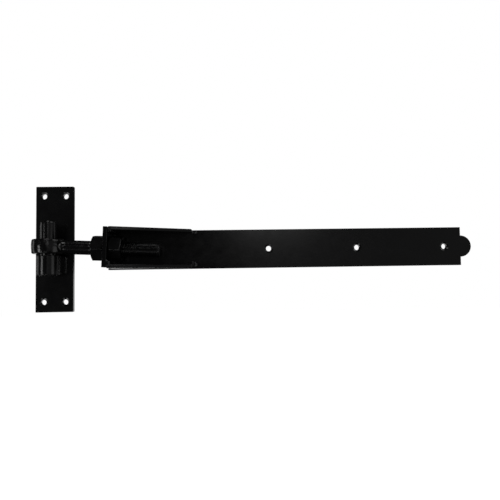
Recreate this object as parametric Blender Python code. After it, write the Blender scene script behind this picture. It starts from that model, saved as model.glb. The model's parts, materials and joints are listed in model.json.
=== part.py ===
"""Adjustable hook-and-band gate hinge with the hook on a post plate.

Frame: origin in the middle of the post plate's back face, +X along the gate band,
+Y into the post, +Z up along the hinge pin. All lengths are in metres.
"""
import math

import bmesh
import bpy
from mathutils import Vector

# Clearance kept between pieces that touch
GAP = 0.0003

# Post plate
PLATE_WIDTH = 0.0480
PLATE_HEIGHT = 0.1630
PLATE_THICKNESS = 0.0060
PLATE_HOLE_SPACING_X = 0.0277
PLATE_HOLE_SPACING_Z = 0.1374
FIXING_HOLE_DIAMETER = 0.0070

# Hinge pin and the saddle that carries it
PIN_STANDOFF = 0.0250            # plate front face to pin axis
PIN_DIAMETER = 0.0190
PIN_TOP = 0.0340
PIN_NOSE_RADIUS = 0.0030
PIN_FOOT_CHAMFER = 0.0006
SADDLE_WALL = 0.0040
SADDLE_BOTTOM = -0.0338
SADDLE_TOP = -0.0095
SADDLE_WELD_SIZE = 0.0030
SADDLE_WELD_SHORT = 0.0010       # how far the fillets stop short of the saddle's ends
PIN_WELD_HALF_WIDTH = 0.0022
PIN_WELD_HEIGHT = 0.0015

# Eye bolt
EYE_CENTRE_Z = 0.0015
EYE_DIAMETER = 0.0404
EYE_BORE = 0.0202
EYE_THICKNESS = 0.0188
EYE_BARREL = 0.0006              # how far the eye's rim bulges at mid height
EYE_EDGE_RADIUS = 0.0016
EYE_BORE_EASE = 0.0007
BOLT_SLOPE = math.radians(2.4)   # the bolt runs this much downhill from the eye
SHANK_DIAMETER = 0.0179
THREAD_DIAMETER = 0.0197
THREAD_START = 0.0530            # along the bolt, from the eye's centre
THREAD_RUN_OUT = 0.0015
THREAD_CHAMFER = 0.0018
BOLT_LENGTH = 0.1385
NECK_FILLET = 0.0100
NECK_START = 0.0130              # along the bolt, where the eye's height starts to ease off
NECK_END = 0.0270
NECK_DROP = 0.0008               # neck's top below the eye's face

# M20 hexagon nuts
NUT_ACROSS_FLATS = 0.0300
NUT_HEIGHT = 0.0155
NUT_BORE = 0.0203
NUT_COUNTERSINK = 0.0008
NUT_CHAMFER_ANGLE = math.radians(30)
NUT_FACE_DIAMETER = 0.0282
NUT_TURN = math.radians(8)       # how far the nuts' corners sit off the front

# Gate band
BAND_WIDTH = 0.0500
BAND_THICKNESS = 0.0060
BAND_FRONT_TO_BOLT = 0.0180      # band front face to the bolt's depth
BAND_CENTRE_Z = -0.0033
BAND_LEFT_X = 0.0706
BAND_SHOULDER_X = 0.5313
TONGUE_RADIUS = 0.0140
BAND_HOLES_X = (0.2774, 0.3935, 0.5096)

# Pocket welded onto the band: end plate and two tapering walls
END_PLATE_AT = 0.0711            # along the bolt, to the end plate's outer face
END_PLATE_THICKNESS = 0.0053
END_PLATE_DEPTH = 0.0380
END_PLATE_HOLE = 0.0215
END_PLATE_LIFT = 0.0012          # its lower end above the lower wall's outer face
WALL_THICKNESS = 0.0044
WALL_RIGHT_X = 0.1780
WALL_TOE_DEPTH = 0.0050
WALL_FLAT = 0.0040               # full depth next to the end plate
UPPER_WALL_LEFT_Z = 0.0279       # outer face above the band's centre line
UPPER_WALL_RIGHT_Z = 0.0262
LOWER_WALL_Z = -0.0236           # outer face below the band's centre line

# Weld beads of the pocket. Heights are from the band's centre line, depths from its front
# face, and each size is the two legs of the bead.
FOOT_WELDS = {"end_plate_weld_upper": (0.0134, 0.0222),
              "end_plate_weld_lower": (-0.0102, -0.0188)}
FOOT_WELD_SIZE = (0.0040, 0.0040)
CORNER_WELD_DEPTHS = (0.0050, 0.0350)
CORNER_WELD_SIZE = (0.0042, 0.0030)
UPPER_CAP_START = (0.0002, 0.0010)     # right of and above the pocket's inner corner
UPPER_CAP_END = (0.0052, 0.0036)
UPPER_CAP_SIZE = (0.0014, 0.0009)
LOWER_CAP_DEPTH = 0.0025
LOWER_CAP_SIZE = (0.0060, 0.0075)
SEAM_FROM_PLATE = 0.0030
SEAM_FROM_TOE = 0.0020
UPPER_SEAM_SIZE = (0.0016, 0.0042)
LOWER_SEAM_SIZE = (0.0011, 0.0030)
TOE_WELDS = {"upper_toe_weld": (0.0183, 0.0246), "lower_toe_weld": (-0.0155, -0.0240)}
TOE_WELD_SIZE = (0.0065, 0.0044)

BEAD_RIPPLE_PITCH = 0.0036
BEAD_RIPPLE = 0.06               # part of the bead's size
BEAD_END_SIZE = 0.55             # size of a bead's ends, as a part of its full size
BEAD_ARC_STEPS = 4

# How finely round forms are drawn, and how much edges are eased
ROUND_STEPS = 40
HOLE_STEPS = 20
NECK_STEPS = 8
NOSE_STEPS = 6
EDGE_ARC_STEPS = 4
RING_WELD_STEPS = 8
EDGE_BEVEL = 0.0006
CUT_EDGE_BEVEL = 0.0009
BEVEL_ANGLE = 40
BEVEL_SEGMENTS = 2
SADDLE_BEVEL_ANGLE = 60          # leaves the saddle's round facets alone
CUTTER_OVERRUN = 0.0010

PIN_Y = -(PLATE_THICKNESS + PIN_STANDOFF)
BAND_FRONT_Y = PIN_Y + BAND_FRONT_TO_BOLT
POCKET_FRONT_Y = BAND_FRONT_Y - END_PLATE_DEPTH
SADDLE_INNER = PIN_DIAMETER / 2 + GAP
SADDLE_OUTER = SADDLE_INNER + SADDLE_WALL

AXIS_X = Vector((1, 0, 0))
AXIS_Y = Vector((0, 1, 0))
AXIS_Z = Vector((0, 0, 1))


def clear_scene():
    for old in list(bpy.data.objects):
        bpy.data.objects.remove(old, do_unlink=True)


def paint(name, colour, roughness):
    """A plain Principled material."""
    material = bpy.data.materials.new(name)
    material.use_nodes = True
    shader = material.node_tree.nodes["Principled BSDF"]
    shader.inputs["Base Color"].default_value = (*colour, 1.0)
    shader.inputs["Roughness"].default_value = roughness
    return material


def empty(name, location, parent=None, rotation=(0, 0, 0)):
    anchor = bpy.data.objects.new(name, None)
    anchor.location = location
    anchor.rotation_euler = rotation
    anchor.parent = parent
    bpy.context.collection.objects.link(anchor)
    return anchor


def add_mesh(name, bm, material=None, parent=None, location=(0, 0, 0)):
    """Turn a bmesh into an object, with its faces pointing out and round faces smooth."""
    bmesh.ops.recalc_face_normals(bm, faces=bm.faces)
    mesh = bpy.data.meshes.new(name)
    bm.to_mesh(mesh)
    bm.free()
    mesh.shade_smooth()
    mesh.set_sharp_from_angle(angle=math.radians(35))
    piece = bpy.data.objects.new(name, mesh)
    piece.location = location
    piece.parent = parent
    if material:
        mesh.materials.append(material)
    bpy.context.collection.objects.link(piece)
    return piece


def arc(centre, radius, start, end, steps):
    """Points (u, v) on an arc, angles in degrees, both ends included."""
    points = []
    for i in range(steps + 1):
        angle = math.radians(start + (end - start) * i / steps)
        points.append((centre[0] + radius * math.cos(angle), centre[1] + radius * math.sin(angle)))
    return points


def prism(outline, low, high, u_axis, v_axis, w_axis):
    """Extrude a flat outline from low to high along w_axis."""
    bm = bmesh.new()
    base = [bm.verts.new(u_axis * u + v_axis * v + w_axis * low) for u, v in outline]
    face = bm.faces.new(base)
    grown = bmesh.ops.extrude_face_region(bm, geom=[face])["geom"]
    moved = [item for item in grown if isinstance(item, bmesh.types.BMVert)]
    bmesh.ops.translate(bm, verts=moved, vec=w_axis * (high - low))
    return bm


def loft(rings, closed=False):
    """Skin a list of rings of points. A closed loft joins its last ring to its first."""
    bm = bmesh.new()
    skins = [[bm.verts.new(point) for point in ring] for ring in rings]
    pairs = list(zip(skins, skins[1:]))
    if closed:
        pairs.append((skins[-1], skins[0]))
    for near, far in pairs:
        count = len(near)
        for i in range(count):
            j = (i + 1) % count
            bm.faces.new((near[i], near[j], far[j], far[i]))
    if not closed:
        bm.faces.new(skins[0])
        bm.faces.new(skins[-1])
    return bm


def turned(profile, axis, side, other, steps=ROUND_STEPS, ring_body=False):
    """Turn a profile of (radius, height) about an axis.

    ring_body makes a ring from a closed profile; otherwise the ends are capped flat.
    """
    def point(radius, height, turn):
        return side * radius * math.cos(turn) + other * radius * math.sin(turn) + axis * height

    turns = [2 * math.pi * i / steps for i in range(steps)]
    if ring_body:
        return loft([[point(r, h, turn) for r, h in profile] for turn in turns], closed=True)
    return loft([[point(r, h, turn) for turn in turns] for r, h in profile])


def bevel_edges(piece, width=EDGE_BEVEL, angle=BEVEL_ANGLE):
    modifier = piece.modifiers.new("eased_edges", "BEVEL")
    modifier.width = width
    modifier.segments = BEVEL_SEGMENTS
    modifier.limit_method = "ANGLE"
    modifier.angle_limit = math.radians(angle)


def combine(piece, tool, operation):
    """Boolean a guide object into a piece and keep the guide out of the model."""
    modifier = piece.modifiers.new(operation.lower() + "_" + tool.name, "BOOLEAN")
    modifier.operation = operation
    modifier.solver = "EXACT"
    modifier.object = tool
    tool.hide_render = True
    tool.display_type = "WIRE"


def drill(piece, name, places, diameter, depth_range, parent, axis, u_axis, v_axis):
    """Cut round holes at (u, v) places through a piece."""
    for index, (u, v) in enumerate(places):
        outline = arc((u, v), diameter / 2, 0, 360 - 360 / HOLE_STEPS, HOLE_STEPS - 1)
        bm = prism(outline, depth_range[0], depth_range[1], u_axis, v_axis, axis)
        cutter = add_mesh(f"{name}_{index + 1}", bm, parent=parent)
        combine(piece, cutter, "DIFFERENCE")


def bead(name, start, end, foot, rise, legs, material, parent, flat=False):
    """A weld bead from start to end, rippled along its length and rounded at both ends.

    A corner bead fills the corner between the foot and rise directions. A flat bead
    lies on a face: foot runs across it, to both sides, and rise points out of it.
    """
    run = end - start
    foot_size, rise_size = legs
    rings_between = max(4, round(run.length / BEAD_RIPPLE_PITCH) * 2)
    rings = []
    for i in range(rings_between + 1):
        along = i / rings_between
        ripple = 1 + BEAD_RIPPLE * (1 if i % 2 else -1)
        to_end = min(1, 4 * min(along, 1 - along) * run.length / foot_size)
        end_ease = BEAD_END_SIZE + (1 - BEAD_END_SIZE) * to_end
        size = ripple * end_ease
        ring = []
        if not flat:
            ring.append(start + run * along + foot * GAP + rise * GAP)
        sweep = math.pi if flat else math.pi / 2
        for k in range(BEAD_ARC_STEPS + 1):
            turn = sweep * k / BEAD_ARC_STEPS
            side = 0 if flat else GAP
            across = side + (foot_size * size - side) * math.cos(turn)
            height = GAP + (rise_size * size - GAP) * math.sin(turn)
            ring.append(start + run * along + foot * across + rise * height)
        rings.append(ring)
    return add_mesh(name, loft(rings), material, parent)


def make_post_plate(material, post):
    half_width = PLATE_WIDTH / 2
    half_height = PLATE_HEIGHT / 2
    outline = [(-half_width, -half_height), (half_width, -half_height),
               (half_width, half_height), (-half_width, half_height)]
    plate = add_mesh("post_plate", prism(outline, -PLATE_THICKNESS, 0, AXIS_X, AXIS_Z, AXIS_Y),
                     material, post)
    places = [(sx * PLATE_HOLE_SPACING_X / 2, sz * PLATE_HOLE_SPACING_Z / 2)
              for sx in (-1, 1) for sz in (-1, 1)]
    drill(plate, "post_hole", places, FIXING_HOLE_DIAMETER,
          (-2 * PLATE_THICKNESS, PLATE_THICKNESS), post, AXIS_Y, AXIS_X, AXIS_Z)
    bevel_edges(plate)


def make_pin_saddle(material, pin_axis):
    """U-shaped strap around the lower pin, its legs standing on the post plate."""
    leg_end = PIN_STANDOFF - GAP
    outline = [(SADDLE_OUTER, leg_end)]
    outline += arc((0, 0), SADDLE_OUTER, 0, -180, ROUND_STEPS // 2)
    outline += [(-SADDLE_OUTER, leg_end), (-SADDLE_INNER, leg_end)]
    outline += arc((0, 0), SADDLE_INNER, -180, 0, ROUND_STEPS // 2)
    outline += [(SADDLE_INNER, leg_end)]
    saddle = add_mesh("pin_saddle",
                      prism(outline, SADDLE_BOTTOM, SADDLE_TOP, AXIS_X, AXIS_Y, AXIS_Z),
                      material, pin_axis)
    bevel_edges(saddle, CUT_EDGE_BEVEL, angle=SADDLE_BEVEL_ANGLE)


def make_hinge_pin(material, pin_axis):
    radius = PIN_DIAMETER / 2
    profile = [(radius - PIN_FOOT_CHAMFER, SADDLE_BOTTOM),
               (radius, SADDLE_BOTTOM + PIN_FOOT_CHAMFER)]
    profile += arc((radius - PIN_NOSE_RADIUS, PIN_TOP - PIN_NOSE_RADIUS), PIN_NOSE_RADIUS,
                   0, 90, NOSE_STEPS)
    add_mesh("hinge_pin", turned(profile, AXIS_Z, AXIS_X, AXIS_Y), material, pin_axis)


def make_post_welds(material, post, pin_axis):
    """Fillets down both saddle legs, and a ring of weld under the pin's foot."""
    for name, side in (("saddle_weld_left", -1), ("saddle_weld_right", 1)):
        corner_x = side * SADDLE_OUTER
        bead(name, Vector((corner_x, -PLATE_THICKNESS, SADDLE_BOTTOM + SADDLE_WELD_SHORT)),
             Vector((corner_x, -PLATE_THICKNESS, SADDLE_TOP - SADDLE_WELD_SHORT)),
             AXIS_X * side, -AXIS_Y, (SADDLE_WELD_SIZE, SADDLE_WELD_SIZE), material, post)
    ring_radius = PIN_DIAMETER / 2 + GAP / 2
    profile = []
    for k in range(RING_WELD_STEPS + 1):
        turn = math.pi * k / RING_WELD_STEPS
        profile.append((ring_radius + PIN_WELD_HALF_WIDTH * math.cos(turn),
                        SADDLE_BOTTOM - GAP - PIN_WELD_HEIGHT * math.sin(turn)))
    add_mesh("pin_weld", turned(profile, AXIS_Z, AXIS_X, AXIS_Y, ring_body=True),
             material, pin_axis)


def eye_profile():
    """Closed section of the eye, as (radius, height): barrelled outside, eased bore."""
    outer = EYE_DIAMETER / 2 - EYE_BARREL
    bore = EYE_BORE / 2
    half = EYE_THICKNESS / 2
    edge = EYE_EDGE_RADIUS
    ease = EYE_BORE_EASE
    points = [(bore + ease, -half), (bore, -half + ease), (bore, half - ease), (bore + ease, half)]
    points += arc((outer - edge, half - edge), edge, 90, 10, EDGE_ARC_STEPS)
    points += [(outer + EYE_BARREL * 0.75, half * 0.5), (outer + EYE_BARREL, 0),
               (outer + EYE_BARREL * 0.75, -half * 0.5)]
    points += arc((outer - edge, -half + edge), edge, -10, -90, EDGE_ARC_STEPS)
    return points


def shank_half_width(along):
    """Half width of the shank: it flares into the eye with a fillet tangent to both."""
    radius = SHANK_DIAMETER / 2
    eye = EYE_DIAMETER / 2
    fillet_centre = math.sqrt((eye + NECK_FILLET) ** 2 - (radius + NECK_FILLET) ** 2)
    tangent = fillet_centre * eye / (eye + NECK_FILLET)
    offset = max(along, tangent) - fillet_centre
    if offset >= 0:
        return radius
    return radius + NECK_FILLET - math.sqrt(NECK_FILLET ** 2 - offset ** 2)


def make_eye_bolt(material, eye_centre, bolt_axis):
    """Forged eye with its shank and threaded end, one piece."""
    eye = add_mesh("eye_bolt", turned(eye_profile(), AXIS_Z, AXIS_X, AXIS_Y, ring_body=True),
                   material, eye_centre)
    shank = SHANK_DIAMETER / 2
    thread = THREAD_DIAMETER / 2
    neck = EYE_THICKNESS / 2 - NECK_DROP
    sections = []
    for i in range(NECK_STEPS + 1):
        along = NECK_START + (NECK_END - NECK_START) * i / NECK_STEPS
        sections.append((along, shank_half_width(along), neck + (shank - neck) * i / NECK_STEPS))
    tip = thread - THREAD_CHAMFER
    sections += [(THREAD_START, shank, shank), (THREAD_START + THREAD_RUN_OUT, thread, thread),
                 (BOLT_LENGTH - THREAD_CHAMFER, thread, thread), (BOLT_LENGTH, tip, tip)]
    rings = []
    for along, half_width, half_height in sections:
        ring = []
        for k in range(ROUND_STEPS):
            turn = 2 * math.pi * k / ROUND_STEPS
            ring.append(AXIS_X * along + AXIS_Y * half_width * math.cos(turn)
                        + AXIS_Z * half_height * math.sin(turn))
        rings.append(ring)
    combine(eye, add_mesh("shank_form", loft(rings), parent=bolt_axis), "UNION")


def make_nut(name, near_face, material, bolt_axis):
    """Hexagon nut from near_face outwards along the bolt, chamfered on both faces."""
    corner = NUT_ACROSS_FLATS / 2 / math.cos(math.radians(30))
    turn = math.degrees(NUT_TURN)
    outline = [arc((0, 0), corner, 180 + turn + 60 * i, 0, 1)[0] for i in range(6)]
    over = CUTTER_OVERRUN
    nut = add_mesh(name, prism(outline, -over, NUT_HEIGHT + over, AXIS_Y, AXIS_Z, AXIS_X),
                   material, bolt_axis, location=(near_face, 0, 0))
    face_radius = NUT_FACE_DIAMETER / 2
    reach = corner + over
    chamfer = (reach - face_radius) * math.tan(NUT_CHAMFER_ANGLE)
    form = [(face_radius, 0), (reach, chamfer), (reach, NUT_HEIGHT - chamfer),
            (face_radius, NUT_HEIGHT)]
    form_piece = add_mesh(name + "_form", turned(form, AXIS_X, AXIS_Y, AXIS_Z), parent=bolt_axis,
                          location=(near_face, 0, 0))
    combine(nut, form_piece, "INTERSECT")
    bore = NUT_BORE / 2
    sink = NUT_COUNTERSINK
    bore_form = [(bore + sink + over, -over), (bore, sink), (bore, NUT_HEIGHT - sink),
                 (bore + sink + over, NUT_HEIGHT + over)]
    bore_piece = add_mesh(name + "_bore", turned(bore_form, AXIS_X, AXIS_Y, AXIS_Z),
                          parent=bolt_axis, location=(near_face, 0, 0))
    combine(nut, bore_piece, "DIFFERENCE")


def bolt_rise_at_plate():
    """Height of the bolt's axis above the band's centre line at the end plate."""
    return EYE_CENTRE_Z - BAND_CENTRE_Z - math.sin(BOLT_SLOPE) * END_PLATE_AT


def end_plate_inner_x(height):
    """X of the end plate's sloping inner face at a height above the band's centre line."""
    along = (END_PLATE_AT + END_PLATE_THICKNESS) * math.cos(BOLT_SLOPE)
    return along + math.tan(BOLT_SLOPE) * (height - bolt_rise_at_plate())


def make_gate_band(material, gate):
    """Flat band with a half-round tongue at its far end and three fixing holes."""
    half = BAND_WIDTH / 2
    outline = [(BAND_LEFT_X, -half), (BAND_SHOULDER_X, -half)]
    outline += arc((BAND_SHOULDER_X, 0), TONGUE_RADIUS, -90, 90, ROUND_STEPS // 2)
    outline += [(BAND_SHOULDER_X, half), (BAND_LEFT_X, half)]
    band = add_mesh("gate_band", prism(outline, 0, BAND_THICKNESS, AXIS_X, AXIS_Z, AXIS_Y),
                    material, gate)
    drill(band, "band_hole", [(x, 0) for x in BAND_HOLES_X], FIXING_HOLE_DIAMETER,
          (-BAND_THICKNESS, 2 * BAND_THICKNESS), gate, AXIS_Y, AXIS_X, AXIS_Z)
    bevel_edges(band)


def make_end_plate(material, bolt_axis):
    """Plate square to the bolt, with a clearance hole for it, standing on the band."""
    low_z = LOWER_WALL_Z + END_PLATE_LIFT - bolt_rise_at_plate()
    high_z = UPPER_WALL_LEFT_Z - bolt_rise_at_plate()
    front = POCKET_FRONT_Y - PIN_Y
    back = BAND_FRONT_TO_BOLT - GAP
    outline = [(front, low_z), (back, low_z), (back, high_z), (front, high_z)]
    plate = add_mesh("end_plate", prism(outline, 0, END_PLATE_THICKNESS, AXIS_Y, AXIS_Z, AXIS_X),
                     material, bolt_axis, location=(END_PLATE_AT, 0, 0))
    outline = arc((0, 0), END_PLATE_HOLE / 2, 0, 360 - 360 / ROUND_STEPS, ROUND_STEPS - 1)
    cutter = add_mesh("end_plate_hole",
                      prism(outline, -END_PLATE_THICKNESS, 2 * END_PLATE_THICKNESS,
                            AXIS_Y, AXIS_Z, AXIS_X),
                      parent=bolt_axis, location=(END_PLATE_AT, 0, 0))
    combine(plate, cutter, "DIFFERENCE")
    bevel_edges(plate, CUT_EDGE_BEVEL)


def make_wall(name, left_x, outer_left, outer_right, material, gate):
    """Side wall of the pocket: tall at the end plate, tapering to a low toe."""
    side = 1 if outer_left > 0 else -1
    length = WALL_RIGHT_X - left_x
    lean = math.atan2(outer_right - outer_left, length)
    full = -END_PLATE_DEPTH
    outline = [(0, -GAP), (0, full), (WALL_FLAT, full), (length, -WALL_TOE_DEPTH), (length, -GAP)]
    inward = -side * WALL_THICKNESS
    wall = add_mesh(name, prism(outline, min(0, inward), max(0, inward), AXIS_X, AXIS_Y, AXIS_Z),
                    material, gate, location=(left_x, 0, outer_left))
    wall.rotation_euler = (0, -lean, 0)
    bevel_edges(wall, CUT_EDGE_BEVEL)


def make_pocket_welds(material, gate):
    """Beads that join the end plate, the walls and the band, in the gate's frame."""
    upper_inner = UPPER_WALL_LEFT_Z - WALL_THICKNESS
    lower_inner = LOWER_WALL_Z + WALL_THICKNESS
    half_band = BAND_WIDTH / 2

    # Short fillets at the foot of the end plate, either side of the nut's sweep
    for name, (near, far) in FOOT_WELDS.items():
        bead(name, Vector((end_plate_inner_x(near), 0, near)),
             Vector((end_plate_inner_x(far), 0, far)),
             AXIS_X, -AXIS_Y, FOOT_WELD_SIZE, material, gate)

    # Fillets up the corners between the end plate and the walls
    start_depth, end_depth = CORNER_WELD_DEPTHS
    for name, height, inward in (("upper_corner_weld", upper_inner, -AXIS_Z),
                                 ("lower_corner_weld", lower_inner, AXIS_Z)):
        corner_x = end_plate_inner_x(height)
        bead(name, Vector((corner_x, -start_depth, height)), Vector((corner_x, -end_depth, height)),
             AXIS_X, inward, CORNER_WELD_SIZE, material, gate)

    # Beads across the front of both corners
    front = -END_PLATE_DEPTH
    corner = Vector((end_plate_inner_x(upper_inner), front, upper_inner))
    start = corner + Vector((UPPER_CAP_START[0], 0, UPPER_CAP_START[1]))
    end = corner + Vector((UPPER_CAP_END[0], 0, UPPER_CAP_END[1]))
    across = (end - start).normalized().cross(AXIS_Y)
    bead("upper_cap_weld", start, end, across, -AXIS_Y, UPPER_CAP_SIZE, material, gate, flat=True)
    corner = Vector((end_plate_inner_x(lower_inner), front, lower_inner))
    bead("lower_cap_weld", corner + AXIS_Y * LOWER_CAP_DEPTH, corner,
         AXIS_X, AXIS_Z, LOWER_CAP_SIZE, material, gate)

    # Seams along both walls: under the upper wall's overhang, on the lower wall's ledge
    left = end_plate_inner_x(0) + SEAM_FROM_PLATE
    right = WALL_RIGHT_X - SEAM_FROM_TOE
    for name, height, foot, rise, legs in (
            ("upper_seam_weld", half_band, AXIS_Z, AXIS_Y, UPPER_SEAM_SIZE),
            ("lower_seam_weld", LOWER_WALL_Z, -AXIS_Z, -AXIS_Y, LOWER_SEAM_SIZE)):
        bead(name, Vector((left, 0, height)), Vector((right, 0, height)),
             foot, rise, legs, material, gate)

    # Blobs that close the walls' toes onto the band
    toe_x = WALL_RIGHT_X + GAP
    for name, (near, far) in TOE_WELDS.items():
        bead(name, Vector((toe_x, 0, near)), Vector((toe_x, 0, far)),
             AXIS_X, -AXIS_Y, TOE_WELD_SIZE, material, gate)


def main():
    clear_scene()
    plate_paint = paint("black_plate_paint", (0.010, 0.010, 0.011), 0.42)
    band_paint = paint("black_band_paint", (0.012, 0.012, 0.013), 0.36)
    forged_paint = paint("black_forged_paint", (0.014, 0.014, 0.015), 0.30)
    nut_paint = paint("black_nut_paint", (0.013, 0.013, 0.014), 0.32)
    weld_paint = paint("black_weld_paint", (0.015, 0.015, 0.016), 0.34)

    post = empty("post_side", (0, 0, 0))
    pin_axis = empty("pin_axis", (0, PIN_Y, 0), post)
    eye_centre = empty("eye_centre", (0, 0, EYE_CENTRE_Z), pin_axis)
    bolt_axis = empty("bolt_axis", (0, 0, 0), eye_centre, (0, BOLT_SLOPE, 0))
    gate = empty("gate_side", (0, BAND_FRONT_Y, BAND_CENTRE_Z), post)

    make_post_plate(plate_paint, post)
    make_pin_saddle(plate_paint, pin_axis)
    make_hinge_pin(forged_paint, pin_axis)
    make_post_welds(weld_paint, post, pin_axis)
    make_eye_bolt(forged_paint, eye_centre, bolt_axis)
    make_nut("outer_nut", END_PLATE_AT - GAP - NUT_HEIGHT, nut_paint, bolt_axis)
    make_nut("inner_nut", END_PLATE_AT + END_PLATE_THICKNESS + GAP, nut_paint, bolt_axis)

    make_gate_band(band_paint, gate)
    make_end_plate(band_paint, bolt_axis)
    upper_left = end_plate_inner_x(UPPER_WALL_LEFT_Z) + 2 * GAP
    lower_left = end_plate_inner_x(LOWER_WALL_Z + WALL_THICKNESS) + 2 * GAP
    make_wall("upper_wall", upper_left, UPPER_WALL_LEFT_Z, UPPER_WALL_RIGHT_Z, band_paint, gate)
    make_wall("lower_wall", lower_left, LOWER_WALL_Z, LOWER_WALL_Z, band_paint, gate)
    make_pocket_welds(weld_paint, gate)


main()
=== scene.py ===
import json
import math
import random

import bmesh
import bpy
from mathutils import Matrix, Vector, noise


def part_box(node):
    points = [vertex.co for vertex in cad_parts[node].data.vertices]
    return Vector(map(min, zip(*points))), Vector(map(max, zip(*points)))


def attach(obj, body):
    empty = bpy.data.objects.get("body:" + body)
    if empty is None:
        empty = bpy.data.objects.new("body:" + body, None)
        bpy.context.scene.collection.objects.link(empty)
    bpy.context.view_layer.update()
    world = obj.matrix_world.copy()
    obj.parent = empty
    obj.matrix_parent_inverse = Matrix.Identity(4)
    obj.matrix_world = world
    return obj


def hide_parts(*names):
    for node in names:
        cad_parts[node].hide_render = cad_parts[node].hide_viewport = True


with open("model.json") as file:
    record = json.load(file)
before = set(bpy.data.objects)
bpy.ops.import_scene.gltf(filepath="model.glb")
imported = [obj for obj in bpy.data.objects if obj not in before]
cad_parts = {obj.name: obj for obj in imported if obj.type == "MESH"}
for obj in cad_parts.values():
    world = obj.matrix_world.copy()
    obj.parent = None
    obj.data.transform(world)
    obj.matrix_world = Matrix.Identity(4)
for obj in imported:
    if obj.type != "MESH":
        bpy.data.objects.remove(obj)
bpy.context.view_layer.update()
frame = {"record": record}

# Adjustable hook-and-band gate hinge, drawn round its CAD frame. All lengths are in metres.

JOINTS = {joint["name"]: joint for joint in frame["record"]["behaviour"]["joints"]}
MM = 0.001

# Sizes that a node's box doesn't give, as the CAD has them
HOLE_DIAMETER = 7.0 * MM
PLATE_HOLE_SPACING = (27.7 * MM, 137.4 * MM)
PIN_NOSE_RADIUS = 3.0 * MM
PIN_FOOT_CHAMFER = 0.6 * MM
SADDLE_WALL = 4.0 * MM
PIN_WELD_HALF_WIDTH = 2.2 * MM
EYE_BORE = 20.2 * MM
EYE_BARREL = 0.6 * MM
NECK_FILLET = 10.0 * MM
NECK_START = 13.0 * MM           # along the bolt, where the eye's height starts to ease off
NECK_LENGTH = 14.0 * MM
SHANK_DIAMETER = 17.9 * MM
THREAD_DIAMETER = 19.7 * MM
THREAD_START = 53.0 * MM
BOLT_LENGTH = 138.5 * MM
NUT_ACROSS_FLATS = 30.0 * MM
NUT_HEIGHT = 15.5 * MM
NUT_TURN = math.radians(8)
TONGUE_RADIUS = 14.0 * MM
BAND_HOLES_X = (277.4 * MM, 393.5 * MM, 509.6 * MM)
END_PLATE_THICKNESS = 5.3 * MM
END_PLATE_HOLE = 21.5 * MM
WALL_THICKNESS = 4.4 * MM
WALL_TOE_DEPTH = 5.0 * MM
WALL_FLAT = 4.0 * MM

# Detail that the CAD leaves out or has more simply
HOLE_RIM = (2.2 * MM, 0.90 * MM)  # width and depth of the fixing holes' shallow countersink
HOLE_STEPS = 48
ARC_STEPS = 48
PLATE_CORNER = 0.8 * MM
PLATE_EASE = 0.7 * MM
SADDLE_EASE = 1.0 * MM
BAND_EASE = 0.8 * MM
END_PLATE_EASE = 0.5 * MM
WALL_EASE = 1.1 * MM
EYE_EDGE_RADIUS = 2.2 * MM
EYE_BORE_EASE = 0.9 * MM
NECK_DROP = 0.9 * MM
NECK_STEP = 1.0 * MM
NECK_STATIONS = 15
SHANK_OVERLAP = 0.2 * MM         # how far the shank runs into the thread
SHANK_STEPS = 96
EYE_STEPS = 128
EYE_RIM_STEPS = 14               # from the eye's middle to its face
FORGING_VOXEL = 0.42 * MM
EYE_MARKS_END = 20.0 * MM        # along the bolt, where the hammer marks start to fade
EYE_MARKS_FADE = 12.0 * MM
SHANK_MARKS_LOST = 0.75          # part of the marks' depth
THREAD_PITCH = 2.5 * MM
THREAD_DEPTH = 0.6134 * THREAD_PITCH
THREAD_ROOT_END = 0.10           # parts of the pitch: root, rising flank, crest, falling flank
THREAD_CREST_START = 0.49
THREAD_CREST_END = 0.59
THREAD_STEPS = 72
THREAD_RUN_IN = (1.0 * MM, 3.0 * MM)  # where the groove starts to deepen, and over what length
THREAD_CHAMFER = 2.0 * MM
THREAD_CHAMFER_SLOPE = 0.9
CUT_MERGE = 1e-7
CUT_TOLERANCE = 1e-5
NUT_BORE_GAP = 0.15 * MM
NUT_FACE_RADIUS = 14.2 * MM
NUT_FACE_STEP = 0.8 * MM         # ring on the nut's face, in from the chamfer
NUT_COUNTERSINK = 0.9 * MM
NUT_CHAMFER_ANGLE = math.radians(30)
NUT_ARRIS_DROP = 0.08 * MM
NUT_ARRIS_BLEND = 0.2 * MM
NUT_CHAMFER_BLEND = 0.35 * MM
NUT_LEVELS = [depth * MM for depth in (0, 0.15, 0.35, 0.6, 0.9, 1.2, 1.5, 1.8, 2.1, 2.5, 3.2, 5.0)]
NUT_STEPS = 180

# Depth and size of the unevenness of hot-worked steel
PIN_WAVES = (0.03 * MM, 20 * MM)
HAMMER_MARKS = (0.28 * MM, 7 * MM)
FORGE_SCALE = (0.08 * MM, 1.8 * MM)
NUT_WAVES = (0.05 * MM, 4 * MM)
WAVE_OCTAVES = 3

WELD_SINK = 0.5 * MM             # how far a bead runs into the steel that it joins
BEAD_STEP = 0.25 * MM
BEAD_FEWEST_STEPS = 24
BEAD_POINTS = 18
BEAD_END = 0.25                  # size of a bead's blunt end, as part of the full size
BEAD_NOSE = 0.9                  # length of its round end, as part of its foot
BEAD_NOSE_LIMIT = 0.45           # and at most this part of its length
RIPPLE_PITCH = 1.5 * MM
RIPPLE_BOW = 0.9 * MM            # how far a ripple's crescent leads in the middle
RIPPLE_DEPTH = 0.10              # part of the bead's size
RIPPLE_ROUNDNESS = 0.7
RIPPLE_SWELL = 0.07
RIPPLES_SKIPPED = 2
RIPPLES_SPARE = 6
CAP_INSET = (0.7 * MM, 1.2 * MM)
CAP_HALF_WIDTH = 1.3 * MM
PIN_WELD_SINK = 0.6 * WELD_SINK
PIN_WELD_RIPPLES = 21            # half waves in half a turn
PIN_WELD_STEPS = 240
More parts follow.
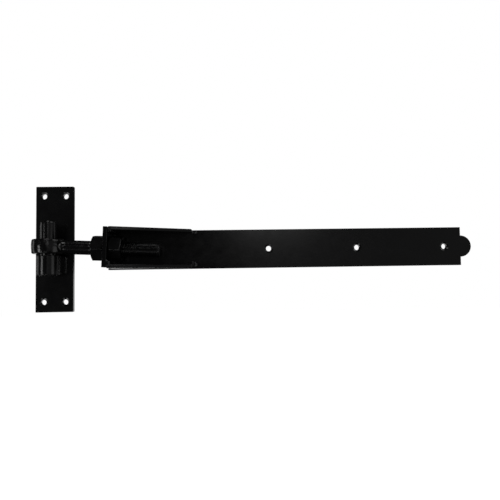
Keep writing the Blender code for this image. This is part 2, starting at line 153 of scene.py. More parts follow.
PIN_WELD_POINTS = 12

AXIS_X = Vector((1, 0, 0))
AXIS_Y = Vector((0, 1, 0))
AXIS_Z = Vector((0, 0, 1))

EYE_CENTRE = Vector(JOINTS["gate_swing"]["pos_m"])
BOLT_DIRECTION = Vector(JOINTS["band_adjust"]["axis"]).normalized()
BOLT_UP = BOLT_DIRECTION.cross(AXIS_Y)
PIN_PLACE = Matrix.Translation(Vector((EYE_CENTRE.x, EYE_CENTRE.y, 0)))

# Node, body, and the ways that a bead runs and its two legs point
CORNER_BEADS = (
    ("saddle_weld_left", "post_side", AXIS_Z, -AXIS_X, -AXIS_Y),
    ("saddle_weld_right", "post_side", AXIS_Z, AXIS_X, -AXIS_Y),
    ("end_plate_weld_upper", "gate_side", AXIS_Z, AXIS_X, -AXIS_Y),
    ("end_plate_weld_lower", "gate_side", AXIS_Z, AXIS_X, -AXIS_Y),
    ("upper_corner_weld", "gate_side", AXIS_Y, AXIS_X, -AXIS_Z),
    ("lower_corner_weld", "gate_side", AXIS_Y, AXIS_X, AXIS_Z),
    ("lower_cap_weld", "gate_side", AXIS_Y, AXIS_X, AXIS_Z),
    ("upper_seam_weld", "gate_side", AXIS_X, AXIS_Z, AXIS_Y),
    ("lower_seam_weld", "gate_side", AXIS_X, -AXIS_Z, -AXIS_Y),
    ("upper_toe_weld", "gate_side", AXIS_Z, AXIS_X, -AXIS_Y),
    ("lower_toe_weld", "gate_side", AXIS_Z, AXIS_X, -AXIS_Y),
)

# Soft boxes: name, azimuth, lowest and highest elevation and width in degrees, and radiance
LIGHTS = (
    ("strip_front_left", -47, -40, 3.5, 15, 3.6),
    ("strip_left", -100, -30, 15, 16, 0.8),
    ("panel_right", 63, -40, 4, 26, 0.6),
    ("panel_upper_right", 68, 18, 44, 34, 1.8),
    ("strip_behind_right", 118, -14, 25, 14, 0.35),
    ("strip_behind_left", -131, -7, 7, 12, 0.6),
    ("softbox_front", 14, -12, 14, 20, 0.11),
    ("softbox_right", 64, -12, 20, 82, 0.11),
    ("softbox_upper", 8.5, 5.5, 16, 10, 0.85),
    ("panel_front_left", -20, -14, 20, 9, 0.02),
    ("panel_below", -6, -48, -28, 18, 1.1),
    ("panel_above", -4, 21, 28, 16, 3.0),
    ("panel_top", -6, 64, 88, 18, 2.5),
    ("panel_behind", 180, -25, -0.5, 60, 0.9),
)
STUDIO_CENTRE = Vector((0.10, -0.03, 0.0))
LIGHT_DISTANCE = 2.5
ROOM_LIGHT = 0.03
FLOOR_CENTRE = (0.26, 0, -0.45)
FLOOR_HALF_SIZE = 6
FLOOR_GREY = 0.9
FLOOR_ROUGHNESS = 0.9
FLOOR_GLOW = 1.0

CAMERA_PLACE = (0.2252, -0.7108, -0.0437)
CAMERA_TURN = (93.18, 0.88, -2.23)     # degrees
CAMERA_LENS = 38.71                    # millimetres, as is the sensor
CAMERA_SENSOR = 36


def ramp(value, start, length):
    """0 before the start, 1 past the length, and straight between."""
    return min(1.0, max(0.0, (value - start) / length))


def soft_min(a, b, blend):
    """The smaller of two values, rounded where they cross."""
    h = max(0.0, min(1.0, 0.5 + 0.5 * (b - a) / blend))
    return b * (1 - h) + a * h - blend * h * (1 - h)


def full_turn(steps):
    """Angles evenly spaced round a circle."""
    return [2 * math.pi * i / steps for i in range(steps)]


def along_bolt(point):
    """Distance of a point from the eye's centre, along the bolt."""
    return (point - EYE_CENTRE).dot(BOLT_DIRECTION)


def bolt_frame(along=0.0):
    """Matrix whose X runs along the bolt, from a point on the bolt's axis."""
    turn = Matrix((BOLT_DIRECTION, AXIS_Y, BOLT_UP)).transposed().to_4x4()
    return Matrix.Translation(EYE_CENTRE + BOLT_DIRECTION * along) @ turn


# ---------------------------------------------------------------- materials

BLACK = (0.0022, 0.0022, 0.0024)
DUST = (0.016, 0.016, 0.015, 1)
TINT_CHANGE = 0.3                # part of the colour, either way
TINT_STOPS = (0.3, 0.7)
NOISE_CLIP = (0.35, 0.65)        # most of the noise lies between these
DUST_CLIP = (0.70, 0.78)         # and only its peaks reach these
PAINT_IOR = 1.5

# Noise: scale per metre, detail, and roughness where it isn't the usual
TINT_NOISE = (35, 5)
DUST_NOISE = (1400, 1)
GLOSS_NOISE = (90, 4)
SKIN_NOISE = (260, 6, 0.6)
PEEL_DETAIL = 2


def black_paint(name, roughness, spread, peel_size, peel_depth, cast_depth=0.0):
    """Black paint on steel: slight tint and gloss changes, orange peel, and cast or forged skin."""
    material = bpy.data.materials.new(name)
    material.use_nodes = True
    nodes = material.node_tree.nodes
    links = material.node_tree.links
    shader = nodes["Principled BSDF"]
    place = nodes.new("ShaderNodeTexCoord").outputs["Object"]

    def noise_map(scale, detail, rough=0.5):
        node = nodes.new("ShaderNodeTexNoise")
        node.inputs["Scale"].default_value = scale
        node.inputs["Detail"].default_value = detail
        node.inputs["Roughness"].default_value = rough
        links.new(place, node.inputs["Vector"])
        return node.outputs["Fac"]

    def spread_out(source, low, high, clip=NOISE_CLIP):
        node = nodes.new("ShaderNodeMapRange")
        node.inputs["From Min"].default_value = clip[0]
        node.inputs["From Max"].default_value = clip[1]
        node.inputs["To Min"].default_value = low
        node.inputs["To Max"].default_value = high
        links.new(source, node.inputs["Value"])
        return node.outputs["Result"]

    def bump(source, depth):
        node = nodes.new("ShaderNodeBump")
        node.inputs["Strength"].default_value = 1.0
        node.inputs["Distance"].default_value = depth
        links.new(source, node.inputs["Height"])
        return node

    # Colour: broad cloudy tint, with dust specks
    tint = nodes.new("ShaderNodeValToRGB")
    changes = (-TINT_CHANGE, TINT_CHANGE)
    for stop, position, change in zip(tint.color_ramp.elements, TINT_STOPS, changes):
        stop.position = position
        stop.color = (*[c * (1 + change) for c in BLACK], 1)
    links.new(noise_map(*TINT_NOISE), tint.inputs["Fac"])
    specks = spread_out(noise_map(*DUST_NOISE), 0, 1, DUST_CLIP)
    dust = nodes.new("ShaderNodeMix")
    dust.data_type = "RGBA"
    dust.inputs["B"].default_value = DUST
    links.new(specks, dust.inputs["Factor"])
    links.new(tint.outputs["Color"], dust.inputs["A"])
    links.new(dust.outputs["Result"], shader.inputs["Base Color"])

    # Gloss: patchy where the paint lies thinner
    patchy = spread_out(noise_map(*GLOSS_NOISE), roughness - spread, roughness + spread)
    links.new(patchy, shader.inputs["Roughness"])

    # Relief: orange peel over a coarser cast or forged skin
    peel = bump(noise_map(1 / peel_size, PEEL_DETAIL), peel_depth)
    if cast_depth:
        skin = bump(noise_map(*SKIN_NOISE), cast_depth)
        links.new(skin.outputs["Normal"], peel.inputs["Normal"])
    links.new(peel.outputs["Normal"], shader.inputs["Normal"])
    shader.inputs["IOR"].default_value = PAINT_IOR
    return material


# Roughness and how far it wanders, orange peel's size and depth, and the skin's depth
PLATE_PAINT = black_paint("satin_black_plate", 0.20, 0.03, 1.3 * MM, 0.004 * MM)
BAND_PAINT = black_paint("satin_black_band", 0.18, 0.03, 1.3 * MM, 0.004 * MM)
FORGED_PAINT = black_paint("gloss_black_forging", 0.16, 0.04, 0.9 * MM, 0.010 * MM, 0.06 * MM)
PIN_PAINT = black_paint("gloss_black_pin", 0.18, 0.03, 1.1 * MM, 0.004 * MM)
NUT_PAINT = black_paint("gloss_black_nut", 0.20, 0.05, 0.9 * MM, 0.010 * MM, 0.03 * MM)
THREAD_PAINT = black_paint("gloss_black_thread", 0.24, 0.04, 0.9 * MM, 0.010 * MM)
WELD_PAINT = black_paint("gloss_black_weld", 0.20, 0.05, 0.7 * MM, 0.012 * MM, 0.05 * MM)


# ---------------------------------------------------------------- mesh helpers


def finish_piece(name, bm, material, body, slot, *nodes, sharp=None):
    """Make the object, ride it on its body and let it stand for its CAD nodes."""
    bmesh.ops.recalc_face_normals(bm, faces=bm.faces)
    mesh = bpy.data.meshes.new(name)
    bm.to_mesh(mesh)
    bm.free()
    mesh.materials.append(material)
    mesh.shade_smooth()
    if sharp:
        mesh.set_sharp_from_angle(angle=math.radians(sharp))
    piece = bpy.data.objects.new(name, mesh)
    bpy.context.collection.objects.link(piece)
    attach(piece, body)
    if nodes:
        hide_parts(*nodes)
    return piece


def ease_edges(piece, width, segments=3, angle=40):
    bevel = piece.modifiers.new("eased_edges", "BEVEL")
    bevel.width = width
    bevel.segments = segments
    bevel.limit_method = "ANGLE"
    bevel.angle_limit = math.radians(angle)
    bevel.harden_normals = True


def arc(centre, radius, start, end, steps):
    """Points (u, v) on an arc, angles in degrees, both ends included."""
    turns = [math.radians(start + (end - start) * i / steps) for i in range(steps + 1)]
    return [(centre[0] + radius * math.cos(a), centre[1] + radius * math.sin(a)) for a in turns]


def hole_outline(centre, radius):
    return arc(centre, radius, 0, 360 - 360 / HOLE_STEPS, HOLE_STEPS - 1)


def skin_rings(bm, near, far):
    """Quads between two rings of vertices."""
    count = len(near)
    for i in range(count):
        j = (i + 1) % count
        bm.faces.new((near[i], near[j], far[j], far[i]))


def slab(outline, holes, low, high, place, rim=None):
    """A flat plate with round holes, drawn in X and Y and raised along Z.

    rim is the width and depth of a countersink on the holes' low side.
    """
    bm = bmesh.new()

    def ring(points, level):
        return [bm.verts.new((u, v, level)) for u, v in points]

    sides = [[ring(outline, low), ring(outline, high)]]
    for centre, radius in holes:
        levels = [(radius, low), (radius, high)]
        if rim:
            levels = [(radius + rim[0], low), (radius, low + rim[1]), (radius, high)]
        sides.append([ring(hole_outline(centre, at), level) for at, level in levels])
    for end in (0, -1):
        edges = []
        for side in sides:
            loop = side[end]
            edges += [bm.edges.new(pair) for pair in zip(loop, loop[1:] + loop[:1])]
        bmesh.ops.triangle_fill(bm, use_beauty=True, use_dissolve=False, edges=edges)

    # A sharp edge round the low face keeps the countersinks out of its shading
    for side in sides:
        for near, far in zip(side, side[1:]):
            skin_rings(bm, near, far)
        for edge in {edge for vert in side[0] for edge in vert.link_edges}:
            edge.smooth = not (edge.verts[0] in side[0] and edge.verts[1] in side[0])
    bmesh.ops.transform(bm, matrix=place, verts=bm.verts)
    return bm


def axes(origin, x_axis, y_axis, z_axis):
    """Matrix that places a slab drawn in X and Y and raised along Z."""
    turn = Matrix((x_axis, y_axis, z_axis)).transposed().to_4x4()
    return Matrix.Translation(origin) @ turn


def loft(rings, closed=False):
    """Skin a list of rings of points. The ends are capped unless the last ring meets the first."""
    bm = bmesh.new()
    skins = [[bm.verts.new(point) for point in ring] for ring in rings]
    pairs = list(zip(skins, skins[1:]))
    if closed:
        pairs.append((skins[-1], skins[0]))
    for near, far in pairs:
        skin_rings(bm, near, far)
    if not closed:
        bm.faces.new(skins[0])
        bm.faces.new(skins[-1])
    return bm


def turned(profile, place, steps=96, ring_body=False):
    """Turn a profile of (radius, height) about the placed Z axis."""
    def point(radius, height, turn):
        return place @ Vector((radius * math.cos(turn), radius * math.sin(turn), height))

    if ring_body:
        return loft([[point(r, h, turn) for r, h in profile] for turn in full_turn(steps)],
                    closed=True)
    return loft([[point(r, h, turn) for turn in full_turn(steps)] for r, h in profile])


def roughen(bm, waves, seed, fade=None):
    """Press a surface in with smooth noise, as on hot-worked steel.

    waves is the greatest depth and the size. fade gives the part of the depth used at a point.
    """
    depth, size = waves
    bm.normal_update()
    shift = Vector((seed, -seed, 2 * seed))
    moves = []
    for vert in bm.verts:
        value = noise.fractal(vert.co / size + shift, 1.0, 2.0, WAVE_OCTAVES)
        press = depth * (fade(vert.co) if fade else 1.0)
        moves.append(vert.normal * (-press * min(1.0, max(0.0, 0.5 + 0.5 * value))))
    for vert, move in zip(bm.verts, moves):
        vert.co += move


# ---------------------------------------------------------------- post side


def make_post_plate():
    low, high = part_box("post_plate")
    centre = (low + high) / 2
    half_width = (high.x - low.x) / 2
    half_height = (high.z - low.z) / 2
    outline = []
    for sx, sz, start in ((1, 1, 0), (-1, 1, 90), (-1, -1, 180), (1, -1, 270)):
        at = (sx * (half_width - PLATE_CORNER), sz * (half_height - PLATE_CORNER))
        outline += arc(at, PLATE_CORNER, start, start + 90, 4)
    holes = [((sx * PLATE_HOLE_SPACING[0] / 2, sz * PLATE_HOLE_SPACING[1] / 2), HOLE_DIAMETER / 2)
             for sx in (-1, 1) for sz in (-1, 1)]
    place = axes(Vector((centre.x, low.y, centre.z)), AXIS_X, AXIS_Z, AXIS_Y)
    bm = slab(outline, holes, 0, high.y - low.y, place, HOLE_RIM)
    plate = finish_piece("rolled_post_plate", bm, PLATE_PAINT, "post_side", "plate_paint",
                         "post_plate")
    ease_edges(plate, PLATE_EASE)


def make_pin_saddle():
    low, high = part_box("pin_saddle")
    outer = (high.x - low.x) / 2
    inner = outer - SADDLE_WALL
    leg_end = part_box("post_plate")[0].y - EYE_CENTRE.y
    outline = arc((0, 0), outer, 0, -180, ARC_STEPS)
    outline += [(-outer, leg_end), (-inner, leg_end)]
    outline += arc((0, 0), inner, -180, 0, ARC_STEPS)
    outline += [(inner, leg_end), (outer, leg_end)]
    bm = slab(outline, [], low.z, high.z, PIN_PLACE)
    saddle = finish_piece("bent_pin_saddle", bm, PLATE_PAINT, "post_side", "plate_paint",
                          "pin_saddle")
    ease_edges(saddle, SADDLE_EASE, angle=60)


def make_hinge_pin():
    low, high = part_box("hinge_pin")
    radius = (high.x - low.x) / 2
    profile = [(radius - PIN_FOOT_CHAMFER, low.z), (radius, low.z + PIN_FOOT_CHAMFER)]
    rise = high.z - PIN_NOSE_RADIUS - low.z - PIN_FOOT_CHAMFER
    profile += [(radius, low.z + PIN_FOOT_CHAMFER + rise * i / 40) for i in range(1, 40)]
    profile += arc((radius - PIN_NOSE_RADIUS, high.z - PIN_NOSE_RADIUS), PIN_NOSE_RADIUS, 0, 90, 12)
    bm = turned(profile, PIN_PLACE)
    roughen(bm, PIN_WAVES, seed=3)
    finish_piece("turned_hinge_pin", bm, PIN_PAINT, "post_side", "forged_paint",
                 "hinge_pin", sharp=35)


# ---------------------------------------------------------------- eye bolt and nuts


def eye_rim(height, half, outer):
    """Outer radius of the eye at a height from its middle: barrelled, with round edges."""
    barrel = outer - EYE_BARREL * (height / half) ** 2
    into_edge = abs(height) - (half - EYE_EDGE_RADIUS)
    if into_edge <= 0:
        return barrel
    return barrel - EYE_EDGE_RADIUS + math.sqrt(max(0.0, EYE_EDGE_RADIUS ** 2 - into_edge ** 2))


def shank_half_width(along, eye_radius):
    """Half width of the shank: it flares into the eye with a fillet tangent to both."""
    radius = SHANK_DIAMETER / 2
    centre = math.sqrt((eye_radius + NECK_FILLET) ** 2 - (radius + NECK_FILLET) ** 2)
    tangent = centre * eye_radius / (eye_radius + NECK_FILLET)
    offset = max(along, tangent) - centre
    if offset >= 0:
        return radius
    return radius + NECK_FILLET - math.sqrt(NECK_FILLET ** 2 - offset ** 2)


def eye_form(outer, half):
    """The eye as a turned ring with round outer edges and an eased bore."""
    bore = EYE_BORE / 2
    ease = EYE_BORE_EASE
    heights = [half * math.sin(math.pi / 2 * i / EYE_RIM_STEPS)
               for i in range(-EYE_RIM_STEPS, EYE_RIM_STEPS + 1)]
    profile = [(bore + ease, -half), (bore + 0.25 * ease, -half + 0.3 * ease), (bore, -half + ease),
               (bore, half - ease), (bore + 0.25 * ease, half - 0.3 * ease), (bore + ease, half)]
    profile += [(eye_rim(h, half, outer), h) for h in reversed(heights)]
    return turned(profile, Matrix.Translation(EYE_CENTRE), EYE_STEPS, ring_body=True)


def shank_form(outer, half):
    """Neck and shank, which thin from nearly the eye's height to the shank's round."""
    place = bolt_frame()
    shank = SHANK_DIAMETER / 2
    neck_height = half - NECK_DROP
    rings = []
    stations = [NECK_START + i * NECK_STEP for i in range(NECK_STATIONS)]
    for along in stations + [THREAD_START + SHANK_OVERLAP]:
        height = neck_height + (shank - neck_height) * ramp(along, NECK_START, NECK_LENGTH)
        width = shank_half_width(along, outer)
        rings.append([place @ Vector((along, width * math.cos(a), height * math.sin(a)))
                      for a in full_turn(SHANK_STEPS)])
    return loft(rings)


def fuse(name, *forms):
    """Melt overlapping forms into one smooth skin."""
    bm = forms[0]
    for form in forms[1:]:
        part = bpy.data.meshes.new(name)
        form.to_mesh(part)
        form.free()
        bm.from_mesh(part)
        bpy.data.meshes.remove(part)
    bmesh.ops.recalc_face_normals(bm, faces=bm.faces)
    mesh = bpy.data.meshes.new(name)
    bm.to_mesh(mesh)
    bm.free()
    form = bpy.data.objects.new(name, mesh)
    bpy.context.collection.objects.link(form)
    remesh = form.modifiers.new("fuse", "REMESH")
    remesh.mode = "VOXEL"
    remesh.voxel_size = FORGING_VOXEL
    smooth = form.modifiers.new("settle", "SMOOTH")
    smooth.factor = 0.5
    smooth.iterations = 6
    graph = bpy.context.evaluated_depsgraph_get()
    fused = bpy.data.meshes.new_from_object(form.evaluated_get(graph))
    bpy.data.objects.remove(form, do_unlink=True)
    bm = bmesh.new()
    bm.from_mesh(fused)
    return bm


def make_eye_and_shank():
    """Forged eye and smooth shank, fused into one and given a hammered skin."""
    low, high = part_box("eye_bolt")
    outer = EYE_CENTRE.x - low.x
    half = high.z - EYE_CENTRE.z
    bm = fuse("eye_form", eye_form(outer, half), shank_form(outer, half))

    def fade(point):
        """Full hammer marks on the eye, faint ones on the shank."""
        return 1.0 - SHANK_MARKS_LOST * ramp(along_bolt(point), EYE_MARKS_END, EYE_MARKS_FADE)

    roughen(bm, HAMMER_MARKS, seed=11, fade=fade)
    roughen(bm, FORGE_SCALE, seed=17, fade=fade)
    finish_piece("forged_eye_and_shank", bm, FORGED_PAINT, "bolt", "forged_paint", "eye_bolt")


def make_bolt_thread():
    """M20 thread cut as a true helix, with a run-in at the shank and a chamfered end."""
    crest = THREAD_DIAMETER / 2
    root = crest - THREAD_DEPTH
    shank = SHANK_DIAMETER / 2
    section = ((0.0, root), (THREAD_ROOT_END, root),
               (THREAD_CREST_START, crest), (THREAD_CREST_END, crest))
    steps = THREAD_STEPS
    turns = math.ceil((BOLT_LENGTH - THREAD_START) / THREAD_PITCH) + 2
    place = bolt_frame()

    def point(i, part, radius):
        along = THREAD_START - THREAD_PITCH + THREAD_PITCH * (i / steps + part)
        radius = shank + (radius - shank) * ramp(along - THREAD_START, *THREAD_RUN_IN)
        past = max(0.0, along - (BOLT_LENGTH - THREAD_CHAMFER))
        radius = min(radius, crest - past * THREAD_CHAMFER_SLOPE)
        turn = 2 * math.pi * (i % steps) / steps
        return place @ Vector((along, radius * math.cos(turn), radius * math.sin(turn)))

    bm = bmesh.new()
    grid = [[bm.verts.new(point(i, part, radius)) for part, radius in section]
            for i in range(turns * steps + 1)]
    for i in range(len(grid) - 1 - steps):
        near = grid[i] + [grid[i + steps][0]]
        far = grid[i + 1] + [grid[i + 1 + steps][0]]
        for j in range(len(section)):
            bm.faces.new((near[j], near[j + 1], far[j + 1], far[j]))
    loose = [vert for vert in bm.verts if not vert.link_faces]
    bmesh.ops.delete(bm, geom=loose, context="VERTS")

    # Cut both ends square and cap them
    for along, outward in ((THREAD_START, -1), (BOLT_LENGTH, 1)):
        everything = bm.verts[:] + bm.edges[:] + bm.faces[:]
        bmesh.ops.bisect_plane(bm, geom=everything, dist=CUT_MERGE,
                               plane_co=EYE_CENTRE + BOLT_DIRECTION * along,
                               plane_no=BOLT_DIRECTION * outward, clear_outer=True)
        rim = [edge for edge in bm.edges if edge.is_boundary
               and all(abs(along_bolt(vert.co) - along) < CUT_TOLERANCE for vert in edge.verts)]
        bmesh.ops.contextual_create(bm, geom=rim)
    finish_piece("bolt_thread", bm, THREAD_PAINT, "bolt", "forged_paint", sharp=40)


def nut_radius(turn, depth):
    """Radius of a nut's outside at an angle and a depth from its face."""
    flat = NUT_ACROSS_FLATS / 2
    sector = (turn - NUT_TURN + math.pi) % (math.pi / 3) - math.pi / 6
    hexagon = flat / math.cos(sector)
    arris = flat / math.cos(math.pi / 6) - NUT_ARRIS_DROP
    rounded = soft_min(hexagon, arris, NUT_ARRIS_BLEND)
    near = min(depth, NUT_HEIGHT - depth)
    chamfer = NUT_FACE_RADIUS + near / math.tan(NUT_CHAMFER_ANGLE)
    return soft_min(rounded, chamfer, NUT_CHAMFER_BLEND)


def make_nut(name, node, body):
    """Hexagon nut with 30 degree chamfers, round arrises and a countersunk bore."""
    low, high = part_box(node)
    middle = along_bolt((low + high) / 2)
    place = bolt_frame(middle - NUT_HEIGHT / 2)
    bore = THREAD_DIAMETER / 2 + NUT_BORE_GAP
    turns = full_turn(NUT_STEPS)
    levels = NUT_LEVELS + [NUT_HEIGHT / 2] + [NUT_HEIGHT - depth for depth in reversed(NUT_LEVELS)]
    face = ((NUT_COUNTERSINK, bore), (0, bore + NUT_COUNTERSINK),
            (0, NUT_FACE_RADIUS - NUT_FACE_STEP))
    rings = [[(depth, radius)] * NUT_STEPS for depth, radius in face]
    rings += [[(depth, nut_radius(turn, depth)) for turn in turns] for depth in levels]
    rings += [[(NUT_HEIGHT - depth, radius)] * NUT_STEPS for depth, radius in reversed(face)]
    placed = [[place @ Vector((depth, radius * math.cos(turn), radius * math.sin(turn)))
               for (depth, radius), turn in zip(ring, turns)] for ring in rings]
    bm = loft(placed, closed=True)
    roughen(bm, NUT_WAVES, seed=middle * 100)
    finish_piece(name, bm, NUT_PAINT, body, "nut_paint", node, sharp=50)


# ---------------------------------------------------------------- gate side


def make_gate_band():
    low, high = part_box("gate_band")
    centre_z = (low.z + high.z) / 2
    half = (high.z - low.z) / 2
    shoulder = high.x - TONGUE_RADIUS
    outline = [(low.x, -half), (shoulder, -half)]
    outline += arc((shoulder, 0), TONGUE_RADIUS, -90, 90, 64)
    outline += [(shoulder, half), (low.x, half)]
    holes = [((x, 0), HOLE_DIAMETER / 2) for x in BAND_HOLES_X]
    place = axes(Vector((0, low.y, centre_z)), AXIS_X, AXIS_Z, AXIS_Y)
    bm = slab(outline, holes, 0, high.y - low.y, place, HOLE_RIM)
    band = finish_piece("rolled_gate_band", bm, BAND_PAINT, "gate_side", "band_paint", "gate_band")
    ease_edges(band, BAND_EASE)


def make_end_plate():
    low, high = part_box("end_plate")
    centre = (low + high) / 2
    lean = math.acos(BOLT_DIRECTION.x)
    height = ((high.z - low.z) - END_PLATE_THICKNESS * math.sin(lean)) / math.cos(lean)
    depth = high.y - low.y
    offset = EYE_CENTRE - centre
    bolt_at = (offset.dot(AXIS_Y), offset.dot(BOLT_UP))
    outline = [(-depth / 2, -height / 2), (depth / 2, -height / 2),
               (depth / 2, height / 2), (-depth / 2, height / 2)]
    place = axes(centre, AXIS_Y, BOLT_UP, BOLT_DIRECTION)
    bm = slab(outline, [(bolt_at, END_PLATE_HOLE / 2)], -END_PLATE_THICKNESS / 2,
              END_PLATE_THICKNESS / 2, place)
    plate = finish_piece("cut_end_plate", bm, BAND_PAINT, "gate_side", "band_paint", "end_plate")
    ease_edges(plate, END_PLATE_EASE)


def make_wall(name, node, side):
    """Tapering side wall. side is 1 for the upper wall, which leans, and -1 for the lower."""
    low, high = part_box(node)
    drop = (high.z - low.z) - WALL_THICKNESS
    length = high.x - low.x
    lean = math.atan2(drop, length) if side > 0 else 0.0
    run = Vector((math.cos(lean), 0, -math.sin(lean)))
    outer_z = high.z if side > 0 else low.z
    front = low.y - high.y
    outline = [(0, 0), (0, front), (WALL_FLAT, front), (length, -WALL_TOE_DEPTH), (length, 0)]
    place = axes(Vector((low.x, high.y, outer_z)), run, AXIS_Y, run.cross(AXIS_Y))
    levels = (-WALL_THICKNESS, 0) if side > 0 else (0, WALL_THICKNESS)
    bm = slab(outline, [], *levels, place)
    wall = finish_piece(name, bm, BAND_PAINT, "gate_side", "band_paint", node)
    ease_edges(wall, WALL_EASE)


# ---------------------------------------------------------------- weld beads


def bead_rings(start, end, foot, rise, foot_size, rise_size, flat, seed):
    """Rings of points for a bead with crescent ripples and round ends.

    A flat bead arches over a surface, foot_size to each side. Any other fills a corner.
    """
    dice = random.Random(seed)
    run = end - start
    length = run.length
    count = max(BEAD_FEWEST_STEPS, round(length / BEAD_STEP))
    swell = [dice.uniform(-1, 1) for _ in range(int(length / RIPPLE_PITCH) + RIPPLES_SPARE)]
    sweep = math.pi if flat else math.pi / 2
    nose = min(BEAD_NOSE_LIMIT * length, BEAD_NOSE * foot_size)
    rings = []
    for i in range(count + 1):
        at = start + run * (i / count)
        to_end = min(i / count, 1 - i / count) * length
        blunt = 1 - min(1.0, to_end / nose)
        end_size = BEAD_END + (1 - BEAD_END) * math.sqrt(1 - blunt ** 2)
        foot_end = at + foot * foot_size * end_size - rise * WELD_SINK
        if flat:
            ring = [foot_end]
            last = at - foot * foot_size * end_size - rise * WELD_SINK
        else:
            ring = [at - foot * WELD_SINK - rise * WELD_SINK, foot_end]
            last = at + rise * rise_size * end_size - foot * WELD_SINK
        for k in range(BEAD_POINTS + 1):
            turn = sweep * k / BEAD_POINTS
            bow = math.sin(turn if flat else 2 * turn)
            phase = (i / count * length + RIPPLE_BOW * bow) / RIPPLE_PITCH + RIPPLES_SKIPPED
            cell = int(phase)
            crest = math.sin(math.pi * (phase - cell)) ** RIPPLE_ROUNDNESS
            wide = 1 + RIPPLE_SWELL * swell[cell]
            size = end_size * wide * (1 - RIPPLE_DEPTH + RIPPLE_DEPTH * crest)
            across = foot_size * size * math.cos(turn)
            height = rise_size * size * math.sin(turn)
            ring.append(at + foot * across + rise * height)
        rings.append(ring + [last])
    return rings


def finish_bead(node, bm, body):
    finish_piece(node + "_bead", bm, WELD_PAINT, body, "weld_paint", node, sharp=60)


def make_corner_bead(node, body, run, foot, rise, seed):
    """A fillet in the corner of its CAD node's box, along the run axis."""
    low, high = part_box(node)

    def reach(direction):
        return sum(abs(direction[k]) * (high[k] - low[k]) for k in range(3))

    corner = Vector([low[k] if foot[k] + rise[k] > 0 else high[k] for k in range(3)])
    start = Vector([low[k] if run[k] else corner[k] for k in range(3)])
    end = start + run * reach(run)
    rings = bead_rings(start, end, foot, rise, reach(foot), reach(rise), False, seed)
    finish_bead(node, loft(rings), body)


def make_upper_cap(node, seed):
    """Diagonal bead across the front of the upper corner."""
    low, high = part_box(node)
    inset_x, inset_z = CAP_INSET
    start = Vector((low.x + inset_x, high.y, low.z + inset_z))
    end = Vector((high.x - inset_x, high.y, high.z - inset_z))
    across = (end - start).normalized().cross(AXIS_Y)
    rings = bead_rings(start, end, across, -AXIS_Y, CAP_HALF_WIDTH, high.y - low.y, True, seed)
    finish_bead(node, loft(rings), "gate_side")


def make_pin_weld(node):
    """Ring of weld under the pin's foot."""
    low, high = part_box(node)
    centre = (low + high) / 2
    outer = (high.x - low.x) / 2
    height = high.z - low.z
    top = height / 2 + PIN_WELD_SINK
    rings = []
    for turn in full_turn(PIN_WELD_STEPS):
        ripple = 1 - RIPPLE_DEPTH + RIPPLE_DEPTH * abs(math.sin(turn * PIN_WELD_RIPPLES))
        out = Vector((math.cos(turn), math.sin(turn), 0))
        ring = []
        for k in range(PIN_WELD_POINTS + 1):
            sweep = math.pi * k / PIN_WELD_POINTS
            radius = outer - PIN_WELD_HALF_WIDTH + PIN_WELD_HALF_WIDTH * ripple * math.cos(sweep)
            drop = height * ripple * math.sin(sweep)
            ring.append(centre + out * radius + AXIS_Z * (top - drop))
        rings.append(ring)
    finish_bead(node, loft(rings, closed=True), "post_side")


# ---------------------------------------------------------------- stage


def area_light(name, azimuth, low, high, width, radiance):
    """Soft box at a compass angle from the front (right is positive), between two elevations."""
    turn = math.radians(azimuth)
    rise = math.radians((low + high) / 2)
    out = Vector((math.sin(turn) * math.cos(rise), -math.cos(turn) * math.cos(rise),
                  math.sin(rise)))
    lamp = bpy.data.lights.new(name, "AREA")
    lamp.shape = "RECTANGLE"
    lamp.size = 2 * LIGHT_DISTANCE * math.tan(math.radians(width / 2))
    lamp.size_y = 2 * LIGHT_DISTANCE * math.tan(math.radians((high - low) / 2))
    lamp.energy = math.pi * lamp.size * lamp.size_y * radiance
    holder = bpy.data.objects.new(name, lamp)
    holder.location = STUDIO_CENTRE + out * LIGHT_DISTANCE
    holder.rotation_euler = (-out).to_track_quat("-Z", "Y").to_euler()
    holder.visible_camera = False
    bpy.context.collection.objects.link(holder)


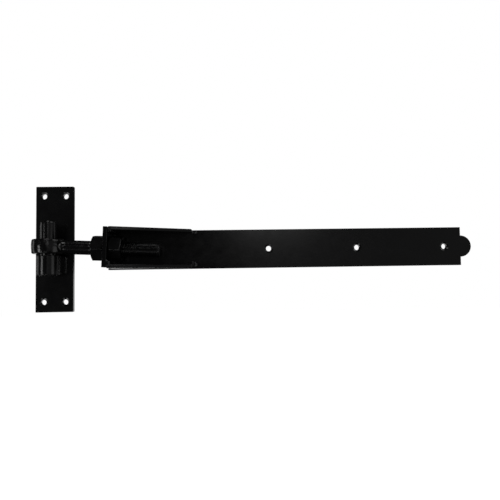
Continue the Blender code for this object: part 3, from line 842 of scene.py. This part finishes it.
def make_world():
    """White behind everything, and a dim room in the reflections."""
    world = bpy.data.worlds.new("studio")
    bpy.context.scene.world = world
    world.use_nodes = True
    nodes = world.node_tree.nodes
    links = world.node_tree.links
    path = nodes.new("ShaderNodeLightPath")
    mix = nodes.new("ShaderNodeMix")
    mix.data_type = "RGBA"
    links.new(path.outputs["Is Camera Ray"], mix.inputs["Factor"])
    mix.inputs["A"].default_value = (ROOM_LIGHT, ROOM_LIGHT, ROOM_LIGHT, 1)
    mix.inputs["B"].default_value = (1, 1, 1, 1)
    links.new(mix.outputs["Result"], nodes["Background"].inputs["Color"])


def make_floor():
    """Pale paper that neither shades nor mirrors in the object."""
    bm = bmesh.new()
    bmesh.ops.create_grid(bm, x_segments=8, y_segments=8, size=FLOOR_HALF_SIZE)
    mesh = bpy.data.meshes.new("floor")
    bm.to_mesh(mesh)
    bm.free()
    floor = bpy.data.objects.new("floor", mesh)
    floor.location = FLOOR_CENTRE
    paper = bpy.data.materials.new("white_paper")
    paper.use_nodes = True
    shader = paper.node_tree.nodes["Principled BSDF"]
    shader.inputs["Base Color"].default_value = (FLOOR_GREY, FLOOR_GREY, FLOOR_GREY, 1)
    shader.inputs["Roughness"].default_value = FLOOR_ROUGHNESS
    shader.inputs["Emission Color"].default_value = (1, 1, 1, 1)
    shader.inputs["Emission Strength"].default_value = FLOOR_GLOW
    mesh.materials.append(paper)
    floor.visible_glossy = False
    floor.visible_diffuse = False
    floor.visible_shadow = False
    bpy.context.collection.objects.link(floor)


def make_camera():
    camera = bpy.data.cameras.new("camera")
    camera.lens = CAMERA_LENS
    camera.sensor_width = CAMERA_SENSOR
    holder = bpy.data.objects.new("camera", camera)
    holder.location = CAMERA_PLACE
    holder.rotation_euler = [math.radians(angle) for angle in CAMERA_TURN]
    bpy.context.collection.objects.link(holder)
    bpy.context.scene.camera = holder


make_camera()
make_world()
make_floor()
for light in LIGHTS:
    area_light(*light)
make_post_plate()
make_pin_saddle()
make_hinge_pin()
make_eye_and_shank()
make_bolt_thread()
make_nut("hex_nut_outer", "outer_nut", "nut_outside")
make_nut("hex_nut_inner", "inner_nut", "nut_inside")
make_gate_band()
make_end_plate()
make_wall("cut_upper_wall", "upper_wall", 1)
make_wall("cut_lower_wall", "lower_wall", -1)
for bead_seed, bead in enumerate(CORNER_BEADS, start=1):
    make_corner_bead(*bead, bead_seed)
make_upper_cap("upper_cap_weld", len(CORNER_BEADS) + 1)
make_pin_weld("pin_weld")
bpy.context.scene.view_settings.view_transform = "Standard"
